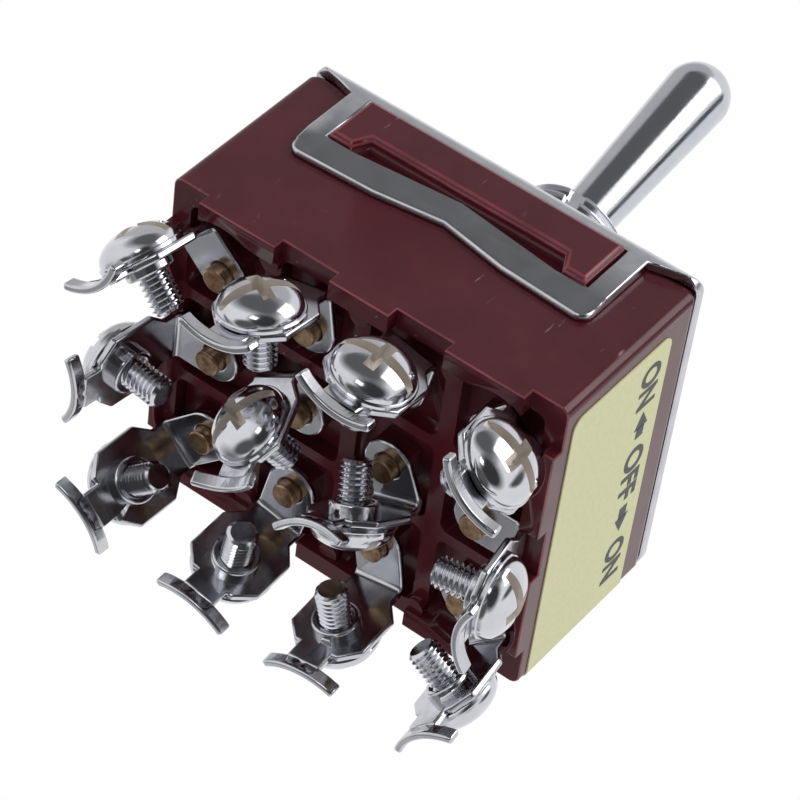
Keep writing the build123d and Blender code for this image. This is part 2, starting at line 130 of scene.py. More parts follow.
# Shader nodes and colours
def linear(hex_colour: str) -> tuple[float, float, float, float]:
    """Turns an sRGB hex colour to the linear RGBA that shader sockets take.

    Args:
        hex_colour: Colour such as "#532e35".

    Returns:
        Linear red, green and blue, with alpha 1.
    """
    parts = [int(hex_colour[i : i + 2], 16) / 255 for i in (1, 3, 5)]
    red, green, blue = [
        part / 12.92 if part <= 0.04045 else ((part + 0.055) / 1.055) ** 2.4 for part in parts
    ]
    return red, green, blue, 1.0


def emptied(owner: Material | World) -> NodeTree:
    """Switches a material or world to nodes and clears them.

    Args:
        owner: The material or world.

    Returns:
        Its empty node tree.
    """
    owner.use_nodes = True
    owner.node_tree.nodes.clear()
    return owner.node_tree


def node(
    tree: NodeTree,
    kind: str,
    values: dict[str | int, Any] | None = None,
    links: dict[str | int, NodeSocket] | None = None,
    **settings: Any,
) -> Node:
    """Adds one shader node with its settings, its constants and its links.

    Args:
        tree: Node tree that takes the node.
        kind: Node type, such as "ShaderNodeTexNoise".
        values: Constants, by input socket.
        links: Source sockets, by input socket.
        **settings: Attributes of the node itself.

    Returns:
        The new node.
    """
    made = tree.nodes.new(kind)
    for name, value in settings.items():
        setattr(made, name, value)
    for socket, value in (values or {}).items():
        made.inputs[socket].default_value = value
    for socket, source in (links or {}).items():
        tree.links.new(source, made.inputs[socket])
    return made


def grain(tree: NodeTree, size: float, stretch: Triple = EVEN, detail: float = 3.0) -> NodeSocket:
    """Lays noise on Object coordinates whose grain has a real size.

    Args:
        tree: Node tree that takes the nodes.
        size: Size of one grain in millimetres.
        stretch: How many times the grain is drawn out along each axis.
        detail: Levels of finer noise.

    Returns:
        The noise factor, about 0.3 to 0.7.
    """
    place = node(tree, "ShaderNodeTexCoord")
    scale = [1 / (size * MM * part) for part in stretch]
    mapping = node(tree, "ShaderNodeMapping", {"Scale": scale}, {"Vector": place.outputs["Object"]})
    noise = node(
        tree,
        "ShaderNodeTexNoise",
        {"Scale": 1.0, "Detail": detail, "Roughness": 0.55},
        {"Vector": mapping.outputs["Vector"]},
    )
    return noise.outputs["Fac"]


@dataclass(frozen=True)
class Relief:
    """How far a grain stands out of its surface: size and depth in millimetres."""

    size: float
    depth: float
    strength: float
    stretch: Triple = EVEN
    detail: float = 3.0

    def raise_on(self, tree: NodeTree, surface: Node) -> None:
        """Lays the grain and turns the shader's normals by it.

        Args:
            tree: Node tree of the material.
            surface: The Principled shader.
        """
        bump = node(
            tree,
            "ShaderNodeBump",
            {"Strength": self.strength, "Distance": self.depth * MM},
            {"Height": grain(tree, self.size, self.stretch, self.detail)},
        )
        tree.links.new(bump.outputs["Normal"], surface.inputs["Normal"])


@dataclass(frozen=True)
class Finish:
    """A surface finish: what the real surface is, and how it was made."""

    name: str
    colour: str
    shade: str
    roughness: float
    roughness_spread: float = 0.0
    metallic: float = 0.0
    specular: float = 0.5

    def material(self) -> Material:
        """Makes the material of this finish.

        Returns:
            The material, with this finish's grain and wear.
        """
        made = bpy.data.materials.new(self.name)
        tree = emptied(made)
        surface = node(
            tree,
            "ShaderNodeBsdfPrincipled",
            {
                "Base Color": linear(self.colour),
                "Roughness": self.roughness,
                "Metallic": self.metallic,
                "Specular IOR Level": self.specular,
            },
        )
        node(tree, "ShaderNodeOutputMaterial", links={"Surface": surface.outputs["BSDF"]})
        made.diffuse_color = linear(self.colour)
        self.detail(tree, surface)
        return made

    def detail(self, tree: NodeTree, surface: Node) -> None:
        """Leaves a plain surface as it is; other finishes add their own grain and wear."""

    def vary(self, tree: NodeTree, surface: Node, factor: NodeSocket) -> None:
        """Varies colour and roughness together by one noise factor.

        Args:
            tree: Node tree of the material.
            surface: The Principled shader.
            factor: Noise factor, about 0.3 to 0.7.
        """
        noise = {"From Min": NOISE_LOW, "From Max": NOISE_HIGH}
        share = node(tree, "ShaderNodeMapRange", noise, {"Value": factor})
        colour = node(
            tree,
            "ShaderNodeMix",
            {6: linear(self.colour), 7: linear(self.shade)},
            {"Factor": share.outputs["Result"]},
            data_type="RGBA",
        )
        low = self.roughness - self.roughness_spread
        high = self.roughness + self.roughness_spread
        ends = {"To Min": low, "To Max": high}
        rough = node(tree, "ShaderNodeMapRange", {**noise, **ends}, {"Value": factor})
        tree.links.new(colour.outputs[2], surface.inputs["Base Color"])
        tree.links.new(rough.outputs["Result"], surface.inputs["Roughness"])


@dataclass(frozen=True)
class BrightNickel(Finish):
    """Nickel plate on pressed or turned metal.

    Plating levels the tool marks, so reflections are clear and neutral in colour, with faint
    clouding and hairline rub marks along one axis. Real hairlines are about 0.02 mm wide, too
    fine to show here, so they are drawn 0.12 mm wide.
    """

    cloud: float = 2.4
    hairline: float = 0.12
    hairline_stretch: Triple = (1.0, 1.0, 14.0)
    hairline_depth: float = 0.012
    hairline_strength: float = 0.35

    def detail(self, tree: NodeTree, surface: Node) -> None:
        """Clouds the plate and lays hairlines over it.

        Args:
            tree: Node tree of the material.
            surface: The Principled shader.
        """
        self.vary(tree, surface, grain(tree, self.cloud))
        lines = Relief(
            self.hairline, self.hairline_depth, self.hairline_strength, self.hairline_stretch
        )
        lines.raise_on(tree, surface)


@dataclass(frozen=True)
class MouldedPhenolic(Finish):
    """Compression moulded phenolic: a hard, glossy skin over a dark filled resin.

    The skin shows slight mould waviness, flow clouds and a few pale scuffs from handling.
    """

    cloud: float = 5.0
    waves: Relief = Relief(1.1, 0.02, 0.12, detail=2.0)
    scuff: float = 0.5
    scuff_stretch: Triple = (1.2, 1.2, 7.0)
    scuff_range: tuple[float, float] = (0.64, 0.72)
    scuff_colour: str = "#8a6a6e"
    patch: float = 3.1
    patch_range: tuple[float, float] = (0.55, 0.65)

    def detail(self, tree: NodeTree, surface: Node) -> None:
        """Adds flow clouds, waviness and short pale scuffs that come in patches.

        Args:
            tree: Node tree of the material.
            surface: The Principled shader.
        """
        self.vary(tree, surface, grain(tree, self.cloud))
        streaks = grain(tree, self.scuff, self.scuff_stretch, 5.0)
        patches = grain(tree, self.patch, detail=1.0)
        marks = [
            node(tree, "ShaderNodeMapRange", {"From Min": low, "From Max": high}, {"Value": noise})
            for noise, (low, high) in ((streaks, self.scuff_range), (patches, self.patch_range))
        ]
        scuffed = node(
            tree,
            "ShaderNodeMath",
            links={0: marks[0].outputs["Result"], 1: marks[1].outputs["Result"]},
            operation="MULTIPLY",
        )
        base = surface.inputs["Base Color"].links[0].from_socket
        worn = node(
            tree,
            "ShaderNodeMix",
            {7: linear(self.scuff_colour)},
            {"Factor": scuffed.outputs["Value"], 6: base},
            data_type="RGBA",
        )
        tree.links.new(worn.outputs[2], surface.inputs["Base Color"])
        self.waves.raise_on(tree, surface)


@dataclass(frozen=True)
class SatinMetal(Finish):
    """Turned or rolled metal left bare, whose lay lines dull its reflections.

    Real lay lines are a few hundredths of a millimetre apart, too fine to show here, so they
    are drawn 0.15 mm apart.
    """

    lay: Relief = Relief(0.15, 0.01, 0.3, (6.0, 6.0, 1.0))

    def detail(self, tree: NodeTree, surface: Node) -> None:
        """Varies the metal by its lay lines and raises them."""
        self.vary(tree, surface, grain(tree, self.lay.size, self.lay.stretch, self.lay.detail))
        self.lay.raise_on(tree, surface)


@dataclass(frozen=True)
class Paper(Finish):
    """Coated label paper: nearly flat, with a faint fibre cloud.

    Real fibres are about 0.03 mm wide, too fine to show here, so they are drawn 0.6 mm wide.
    """

    fibres: Relief = Relief(0.6, 0.01, 0.2, detail=6.0)

    def detail(self, tree: NodeTree, surface: Node) -> None:
        """Clouds the paper by its fibres and raises them."""
        self.vary(tree, surface, grain(tree, self.fibres.size, detail=self.fibres.detail))
        self.fibres.raise_on(tree, surface)


# nickel on a turned and polished lever: the clearest mirror of all, its rub marks run along it
PLATED_LEVER = BrightNickel(
    "bright_nickel_lever", "#c9cbd2", "#c3c5cd", 0.14, 0.03, 1.0, hairline_stretch=(1.0, 1.0, 20.0)
)
# nickel on rolled steel: softer, cloudy reflections, its rub marks run with the roll
PLATED_SHEET = BrightNickel(
    "bright_nickel_sheet", "#c6c7cc", "#bcbdc3", 0.2, 0.05, 1.0, hairline_stretch=(16.0, 1.0, 1.0)
)
# nickel on pressed strip: bright flats with marks of the press along the blade
PLATED_TERMINAL = BrightNickel(
    "bright_nickel_terminal",
    "#c9cacf",
    "#bcbdc3",
    0.16,
    0.05,
    1.0,
    hairline_stretch=(1.0, 1.0, 8.0),
)
# nickel on a headed screw: a domed mirror with hardly a mark
PLATED_SCREW = BrightNickel(
    "bright_nickel_screw",
    "#d0d1d7",
    "#c6c7cd",
    0.12,
    0.04,
    1.0,
    hairline_stretch=EVEN,
    hairline_depth=0.005,
)
# the punched recess keeps the dull, slightly warm skin of the punch, so it reads paler and matt
RECESS = BrightNickel(
    "dull_nickel_recess", "#d6cfc8", "#c4bcb3", 0.45, 0.08, 0.7, hairline_stretch=EVEN
)
# moulded against polished steel: deep maroon with a clear gloss, matched down a little
PHENOLIC = MouldedPhenolic(
    "maroon_moulded_phenolic", "#4f1a23", "#48171f", 0.2, 0.04, specular=0.32
)
# mould flash rubbed off the edges leaves them paler than the skin, and the paler colour is also a
# painted highlight of the edges catching light
PHENOLIC_EDGE_FLASH_AND_HIGHLIGHT = MouldedPhenolic("rubbed_and_highlit_phenolic_edge", "#853a44", "#6a2830", 0.24, 0.05)
# turned brass gone brown with age: dull, warm, no clear mirror
BRASS = SatinMetal("turned_brass_rivet", "#b59a7c", "#86664a", 0.42, 0.08, 1.0)
# rolled brass kept clean inside the case: yellow, with a soft sheen
CONTACT_BRASS = SatinMetal("rolled_contact_brass", "#bd9558", "#a88148", 0.35, 0.08, 1.0)
# drawn steel wire and pin: grey, with a soft sheen
STEEL = SatinMetal("drawn_spring_steel", "#9a9a9a", "#86868a", 0.35, 0.08, 1.0)
# coated paper: pale yellow-green and almost matt
LABEL = Paper("coated_label_paper", "#d4d4a9", "#cfcfa3", 0.55, 0.05)
# filled thermoset moulding of the hidden slide: near black and matt
THERMOSET = Finish("dark_thermoset_moulding", "#35302d", "#2d2926", 0.5)
# thin printing ink: flat dark grey
INK = Finish("grey_label_ink", "#4a4a50", "#4a4a50", 0.6)


# Modelling by hand
def activate(obj: Object) -> None:
    """Deselects everything and makes one object selected and active.

    Args:
        obj: The object.
    """
    bpy.ops.object.select_all(action="DESELECT")
    obj.select_set(True)
    bpy.context.view_layer.objects.active = obj


def added(name: str, operator: Callable[..., Any], **settings: Any) -> Object:
    """Adds one primitive with nothing else selected.

    Args:
        name: Name of the new object.
        operator: Blender's operator that adds it.
        **settings: The operator's settings, in metres.

    Returns:
        The new object.
    """
    bpy.ops.object.select_all(action="DESELECT")
    operator(**settings)
    obj = bpy.context.object
    obj.name = name
    return obj


@contextmanager
def editing(obj: Object, keep: Callable[[Vector], bool] | None = None) -> Iterator[None]:
    """Opens an object in edit mode with its vertices selected.

    Args:
        obj: The object.
        keep: Test of place that a vertex has to pass to be selected.

    Yields:
        Nothing, while the object is open.
    """
    activate(obj)
    bpy.ops.object.mode_set(mode="EDIT")
    bpy.ops.mesh.select_mode(type="VERT")
    bpy.ops.mesh.select_all(action="DESELECT" if keep else "SELECT")
    if keep:
        bpy.ops.object.mode_set(mode="OBJECT")
        for vertex in obj.data.vertices:
            vertex.select = keep(vertex.co)
        bpy.ops.object.mode_set(mode="EDIT")
    yield
    bpy.ops.object.mode_set(mode="OBJECT")


def apply_modifier(obj: Object, kind: str, **settings: Any) -> None:
    """Adds a modifier with its settings and applies it.

    Args:
        obj: The object.
        kind: Modifier type, such as "BEVEL".
        **settings: Attributes of the modifier.
    """
    activate(obj)
    modifier = obj.modifiers.new(kind.lower(), kind)
    for name, value in settings.items():
        setattr(modifier, name, value)
    bpy.ops.object.modifier_apply(modifier=modifier.name)


def drawn_profile(name: str, points: list[tuple[float, float]]) -> Object:
    """Draws a half section by extruding one vertex from point to point.

    Args:
        name: Name of the new object.
        points: Radius and height of each point, in millimetres.

    Returns:
        The open outline in the XZ plane.
    """
    obj = added(name, bpy.ops.mesh.primitive_circle_add, vertices=3, radius=MM)
    with editing(obj):
        bpy.ops.mesh.merge(type="CENTER")
        first = points[0]
        bpy.ops.transform.translate(value=(first[0] * MM, 0, first[1] * MM))
        for (r0, z0), (r1, z1) in zip(points, points[1:]):
            step = ((r1 - r0) * MM, 0, (z1 - z0) * MM)
            bpy.ops.mesh.extrude_region_move(TRANSFORM_OT_translate={"value": step})
    return obj


def turned(name: str, points: list[tuple[float, float]], steps: int) -> Object:
    """Turns a half section round Z, closes it and points its faces outwards.

    Args:
        name: Name of the new object.
        points: Radius and height of each point, in millimetres.
        steps: Faces round the circle.

    Returns:
        The turned object.
    """
    obj = drawn_profile(name, points)
    with editing(obj):
        bpy.ops.mesh.spin(steps=steps, angle=math.tau, center=(0, 0, 0), axis=(0, 0, 1))
        bpy.ops.mesh.select_all(action="SELECT")
        bpy.ops.mesh.remove_doubles(threshold=DRAWN_WELD * MM)
        bpy.ops.mesh.normals_make_consistent(inside=False)
    return obj


def arc_points(
    centre: tuple[float, float], radius: float, start: float, end: float, count: int
) -> list[tuple[float, float]]:
    """Gives points along an arc in the half section, from one angle in degrees to another."""
    angles = [math.radians(start + (end - start) * i / count) for i in range(count + 1)]
    return [(centre[0] + radius * math.cos(a), centre[1] + radius * math.sin(a)) for a in angles]


def cut_thread(
    obj: Object, crest: float, pitch: float, base: float, turns: int, steps: int
) -> None:
    """Cuts a right-hand 60 degree thread round a shank that stands on the Z axis.

    Args:
        obj: The turned shank.
        crest: Outer radius of the thread in millimetres.
        pitch: Rise of one turn.
        base: Height of the middle of the groove where it begins.
        turns: Number of turns.
        steps: Faces in one turn.
    """
    root = crest - THREAD_DEPTH * pitch
    outside = crest + THREAD_CLEAR * pitch
    form = [
        (root, -ROOT_HALF),
        (outside, -MOUTH_HALF),
        (outside, MOUTH_HALF),
        (root, ROOT_HALF),
        (root, -ROOT_HALF),
    ]
    groove = drawn_profile("groove", [(r, base + z * pitch) for r, z in form])
    with editing(groove):
        bpy.ops.mesh.remove_doubles(threshold=DRAWN_WELD * MM)
    apply_modifier(
        groove,
        "SCREW",
        axis="Z",
        angle=math.tau,
        screw_offset=pitch * MM,
        iterations=turns,
        steps=steps,
        render_steps=steps,
    )
    with editing(groove):
        bpy.ops.mesh.fill_holes(sides=0)
        bpy.ops.mesh.normals_make_consistent(inside=False)
    cut(obj, groove)


def joined(name: str, *parts: Object) -> Object:
    """Joins objects into the first one and names it.

    Args:
        name: Name of the joined object.
        *parts: The objects.

    Returns:
        The joined object.
    """
    activate(parts[0])
    for part in parts[1:]:
        part.select_set(True)
    bpy.ops.object.join()
    parts[0].name = name
    parts[0].data.name = name
    return parts[0]


def copied(source: Object, name: str) -> Object:
    """Copies an object with its own mesh.

    Args:
        source: The object, which stays as it is.
        name: Name of the copy.

    Returns:
        The copy.
    """
    mesh = source.data.copy()
    mesh.name = name
    obj = bpy.data.objects.new(name, mesh)
    bpy.context.scene.collection.objects.link(obj)
    return obj


def cut(obj: Object, cutter: Object) -> None:
    """Cuts one object out of another, keeps the cutter's finish on the cut and removes it.

    Args:
        obj: The object that is cut.
        cutter: The object that is taken out of it.
    """
    apply_modifier(
        obj,
        "BOOLEAN",
        operation="DIFFERENCE",
        solver="EXACT",
        object=cutter,
        material_mode="TRANSFER",
    )
    bpy.data.objects.remove(cutter)


def block(name: str, centre: Triple, size: Triple) -> Object:
    """Adds a box with its place in its mesh.

    Args:
        name: Name of the new object.
        centre: Its centre in millimetres.
        size: Its size in millimetres.

    Returns:
        The box.
    """
    obj = added(name, bpy.ops.mesh.primitive_cube_add, size=MM)
    obj.data.transform(Matrix.Diagonal((*size, 1)))
    obj.data.transform(Matrix.Translation(Vector(centre) * MM))
    return obj


def merged(source: Object, name: str) -> Object:
    """Copies a frame node, joins its loose triangles and clears the edges on its flats.

    Args:
        source: The frame's node, which stays as it is.
        name: Name of the copy.

    Returns:
        The copy, as one closed mesh.
    """
    obj = copied(source, name)
    with editing(obj):
        bpy.ops.mesh.remove_doubles(threshold=NODE_WELD * MM)
        bpy.ops.mesh.dissolve_limited(angle_limit=math.radians(FLAT_ANGLE))
    return obj


def break_edges(
    obj: Object,
    width: float,
    segments: int = 2,
    sharp: float = 28.0,
    hidden: Callable[[Vector], bool] | None = None,
) -> None:
    """Rounds a piece's outer edges, in its second finish if it has one; on the case that finish is
    partly a painted highlight.

    Args:
        obj: The piece.
        width: Width of the rounding in millimetres.
        segments: Faces across it.
        sharp: Angle in degrees above which an edge is rounded.
        hidden: Test for places whose edges stay as they are.
    """
    activate(obj)
    bpy.ops.object.shade_smooth_by_angle(angle=math.radians(sharp))
    mesh = bmesh.new()
    mesh.from_mesh(obj.data)
    weight = mesh.edges.layers.float.new("bevel_weight_edge")
    for edge in mesh.edges:
        if hidden and any(hidden(vertex.co) for vertex in edge.verts):
            continue
        if len(edge.link_faces) == 2 and edge.calc_face_angle_signed(0.0) > math.radians(sharp):
            edge[weight] = 1.0
    mesh.to_mesh(obj.data)
    mesh.free()
    apply_modifier(
        obj,
        "BEVEL",
        width=width * MM,
        segments=segments,
        limit_method="WEIGHT",
        use_clamp_overlap=False,
        material=1 if len(obj.data.materials) > 1 else -1,
    )
    apply_modifier(obj, "WEIGHTED_NORMAL", mode="FACE_AREA", weight=50, keep_sharp=True)


def softened(
    source: Object, name: str, material: Material, width: float, segments: int = 2
) -> Object:
    """Copies a frame node and breaks its outer edges as pressing or turning does.

    Args:
        source: The frame's node, which stays as it is.
        name: Name of the new piece.
        material: Its finish.
        width: Width of the broken edge in millimetres.
        segments: Faces across the broken edge.

    Returns:
        The piece with rounded edges and even shading.
    """
    obj = merged(source, name)
    clad(obj, material)
    break_edges(obj, width, segments)
    return obj


def clad(obj: Object, *materials: Material) -> None:
    """Gives a piece its finishes, the first one all over.

    Args:
        obj: The piece.
        *materials: Its finishes.
    """
    obj.data.materials.clear()
    for material in materials:
        obj.data.materials.append(material)


def dress(obj: Object, body: Body, node_name: str | None = None) -> None:
    """Puts a finished piece on its body, and hides the frame node it stands for.

    Args:
        obj: The finished piece.
        body: The body it rides on.
        node_name: The frame node that it replaces, if any.
    """
    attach(obj, body.value)
    if node_name:
        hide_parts(node_name)
    logger.info("%s: %d faces on %s", obj.name, len(obj.data.polygons), body.value)


# The switch
@dataclass(frozen=True)
class Print:
    """A printed word or arrow: its middle along the label and its width, in millimetres."""

    middle: float
    width: float


@dataclass
class Housing:
    """Moulded case in its folded frame, with the rating label on one end."""

    nodes: dict[str, Object]
    case_edge: float = 0.13
    wall: float = 1.9
    frame_edge: float = 0.16
    bar_edge: float = 0.4
    bar_edge_segments: int = 4
    bar_top: float = -8.1
    crimp_half: float = 12.0
    bar_middle: float = -9.5
    bar_lean: float = 0.34
    label_lift: float = 0.02
    print_depth: float = 0.02
    row_height: float = -7.2
    letter_height: float = 2.8
    letter_weight: float = 0.03
    words: dict[str, tuple[str, Print]] = field(
        default_factory=lambda: {
            "print_on_left": ("ON", Print(-10.55, 4.9)),
            "print_off": ("OFF", Print(0.0, 6.4)),
            "print_on_right": ("ON", Print(10.8, 5.0)),
        }
    )
    arrows: dict[str, tuple[Way, Print]] = field(
        default_factory=lambda: {
            "print_arrow_left": (Way.LEFT, Print(-5.9, 3.0)),
            "print_arrow_right": (Way.RIGHT, Print(5.65, 3.1)),
        }
    )
    arrow_head: tuple[float, float] = (1.8, 1.95)
    arrow_shaft: float = 1.1
    shaft_overlap: float = 0.1

    def build(self) -> None:
        """Builds the case, the frame and the label with its print."""
        dress(self.case(), Body.HOUSING, "case")
        dress(self.frame(), Body.HOUSING, "mounting_frame")
        self.nodes["rating_label"].material_slots[0].material = LABEL.material()
        ink = INK.material()
        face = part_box("rating_label")[1].x + self.label_lift * MM
        for name, (text, place) in self.words.items():
            self.printed(self.word(name, text, place.width), place, face, ink)
        for name, (way, place) in self.arrows.items():
            self.printed(self.arrow(name, way, place.width), place, face, ink)

    def case(self) -> Object:
        """Rounds the case's outer edges and colours them paler, partly rubbed mould flash and
        partly a painted highlight; those inside its walls stay as moulded.

        Returns:
            The case.
        """
        obj = merged(self.nodes["case"], "case_moulding")
        # the second finish paints the rounded outer edges paler: rubbed mould flash and a painted
        # highlight
        clad(obj, PHENOLIC.material(), PHENOLIC_EDGE_FLASH_AND_HIGHLIGHT.material())
        low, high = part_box("case")
        inner = [(low[i] + self.wall * MM, high[i] - self.wall * MM) for i in (0, 1)]

        def inside(place: Vector) -> bool:
            """Tells whether a place is within the case's walls."""
            return all(start < place[i] < end for i, (start, end) in enumerate(inner))

        break_edges(obj, self.case_edge, hidden=inside)
        return obj

    def frame(self) -> Object:
        """Rounds the folded frame, whose loop bars are pressed in and burnished low down.

        Returns:
            The frame.
        """
        obj = merged(self.nodes["mounting_frame"], "folded_frame")
        outer = max(v.co.y for v in obj.data.vertices)
        near, level = SAME_PLACE * MM, self.bar_top * MM
        with editing(obj):
            bpy.ops.mesh.bisect(plane_co=(0, 0, level), plane_no=(0, 0, 1))
        # the cut stays in the arms and goes from the bar, which leans as one flat
        half = self.crimp_half * MM
        with editing(obj, lambda co: abs(co.z - level) < near and abs(co.x) < half):
            bpy.ops.mesh.dissolve_edges(use_verts=False)
        lean = 1 - self.bar_lean * MM / outer
        with editing(obj, lambda co: co.z < self.bar_middle * MM and abs(co.y) > outer - near):
            bpy.ops.transform.resize(value=(1, lean, 1), center_override=(0, 0, 0))
            bpy.ops.mesh.bevel(
                offset=self.bar_edge * MM,
                segments=self.bar_edge_segments,
                affect="EDGES",
                clamp_overlap=True,
            )
        clad(obj, PLATED_SHEET.material())
        break_edges(obj, self.frame_edge)
        return obj

    def word(self, name: str, text: str, width: float) -> Object:
        """Sets one word flat about the origin, drawn out to its printed width and height.

        Args:
            name: Name of the piece.
            text: The word.
            width: Printed width in millimetres.

        Returns:
            The word as a thin mesh.
        """
        obj = added(name, bpy.ops.object.text_add)
        obj.data.body = text
        obj.data.size = MM
        obj.data.offset = self.letter_weight * MM
        obj.data.extrude = self.print_depth / 2 * MM
        activate(obj)
        bpy.ops.object.convert(target="MESH")
        across = [v.co.x for v in obj.data.vertices]
        up = [v.co.y for v in obj.data.vertices]
        wider = width * MM / (max(across) - min(across))
        taller = self.letter_height * MM / (max(up) - min(up))
        middle = Vector(((max(across) + min(across)) / 2, (max(up) + min(up)) / 2, 0))
        grow = Matrix.Diagonal((wider, taller, 1, 1))
        obj.data.transform(grow @ Matrix.Translation(-middle))
        return obj

    def arrow(self, name: str, way: Way, width: float) -> Object:
        """Makes a flat arrow about the origin: a broad head on a short thick shaft.

        Args:
            name: Name of the piece.
            way: Which way it points.
            width: Printed width in millimetres.

        Returns:
            The arrow as a thin mesh.
        """
        length, height = self.arrow_head
        # a three-sided cylinder of radius 1 is 1.5 long and the root of 3 wide
        long_axis, wide_axis = length / 1.5, height / math.sqrt(3)
        obj = added(
            name,
            bpy.ops.mesh.primitive_cylinder_add,
            vertices=3,
            radius=MM,
            depth=self.print_depth * MM,
        )
        obj.data.transform(Matrix.Rotation(-math.pi / 2, 4, "Z"))
        obj.data.transform(Matrix.Diagonal((long_axis, wide_axis, 1, 1)))
        obj.data.transform(Matrix.Translation(Vector((width / 2 - long_axis, 0, 0)) * MM))
        shaft_length = width - length + self.shaft_overlap
        size = (shaft_length, self.arrow_shaft, self.print_depth)
        obj = joined(name, obj, block("shaft", ((shaft_length - width) / 2, 0, 0), size))
        if way is Way.LEFT:
            obj.data.transform(Matrix.Rotation(math.pi, 4, "Z"))
        return obj

    def printed(self, obj: Object, place: Print, face: float, ink: Material) -> None:
        """Lays a flat piece of print on the label, reading along +Y.

        Args:
            obj: The print, flat about the origin.
            place: Where it is on the label.
            face: X of the label's face in metres.
            ink: The ink.
        """
        turn = Matrix(((0, 0, 1), (1, 0, 0), (0, 1, 0))).to_4x4()
        middle = Vector((face, place.middle * MM, self.row_height * MM))
        obj.data.transform(Matrix.Translation(middle) @ turn)
        clad(obj, ink)
        dress(obj, Body.HOUSING)


@dataclass
class LeverSet:
    """Turned bat lever and the threaded bushing that it tips in."""

    throw: float = 13.2
    pivot: float = 8.45
    ball_r: float = 4.1
    base_r: float = 2.4
    tip_r: float = 3.25
    tip_end: float = -8.0
    bat_length: float = 27.1
    tail_r: float = 1.7
    tail_length: float = 13.0
    lever_steps: int = 64
    sheet: float = 1.0
    flange_r: float = 7.5
    flange: float = 1.2
    shoulder_r: float = 7.0
    shoulder_drop: float = 0.3
    neck_r: float = 5.6
    neck_top: float = -0.1
    bushing_r: float = 6.0
    bushing_top: float = 13.4
    bushing_edge: float = 0.6
    bore_r: float = 4.3
    mouth_r: float = 4.4
    throat_r: float = 3.45
    bushing_steps: int = 96
    keyway: tuple[float, float] = (1.6, 0.8)
    thread_pitch: float = 1.0
    thread_steps: int = 72

    def build(self) -> None:
        """Builds the lever and the bushing."""
        lever = self.lever()
        clad(lever, PLATED_LEVER.material())
        dress(lever, Body.LEVER, "lever")
        bushing = self.bushing()
        clad(bushing, PLATED_SHEET.material())
        dress(bushing, Body.HOUSING, "bushing")

    def lever(self) -> Object:
        """Turns the lever: round tip, tapered bat, ball and tail.

        Returns:
            The lever, thrown about its pivot.
        """
        neck = math.degrees(math.acos(self.base_r / self.ball_r))
        waist = -math.degrees(math.acos(self.tail_r / self.ball_r))
        points = arc_points((0, self.bat_length - self.tip_r), self.tip_r, 90, self.tip_end, 16)
        points += arc_points((0, 0), self.ball_r, neck, waist, 20)
        points += arc_points((0, self.tail_r - self.tail_length), self.tail_r, 0, -90, 8)
        points[0] = (0, self.bat_length)
        points[-1] = (0, -self.tail_length)
        obj = turned("bat_lever", points, self.lever_steps)
        activate(obj)
        bpy.ops.object.shade_smooth_by_angle(angle=math.radians(40))
        tilt = Matrix.Rotation(math.radians(self.throw), 4, "X")
        obj.data.transform(Matrix.Translation((0, 0, self.pivot * MM)) @ tilt)
        return obj

    def bushing(self) -> Object:
        """Turns the bushing with its ball seat, then cuts its thread and its keyway.

        Returns:
            The bushing.
        """
        seat = math.degrees(math.acos(self.throat_r / self.bore_r))
        under = -self.sheet - self.flange
        points = [
            (self.bore_r, under),
            (self.flange_r, under),
            (self.flange_r, -self.sheet),
            (self.shoulder_r, -self.sheet),
            (self.shoulder_r, -self.shoulder_drop),
            (self.neck_r, -self.shoulder_drop),
            (self.neck_r, self.neck_top),
            (self.bushing_r, self.neck_top),
            (self.bushing_r, self.bushing_top - self.bushing_edge),
            (self.bushing_r - self.bushing_edge, self.bushing_top),
            (self.mouth_r, self.bushing_top),
            *arc_points((0, self.pivot), self.bore_r, seat, 0, 8),
            (self.bore_r, under),
        ]
        obj = turned("threaded_bushing", points, self.bushing_steps)
        pitch = self.thread_pitch
        turns = int(self.bushing_top / pitch)
        cut_thread(obj, self.bushing_r, pitch, pitch / 2, turns, self.thread_steps)
        width, depth = self.keyway
        centre = (0, -self.bushing_r, self.bushing_top / 2)
        cut(obj, block("keyway", centre, (width, 2 * depth, self.bushing_top + 1)))
        activate(obj)
        bpy.ops.object.shade_smooth_by_angle(angle=math.radians(25))
        return obj


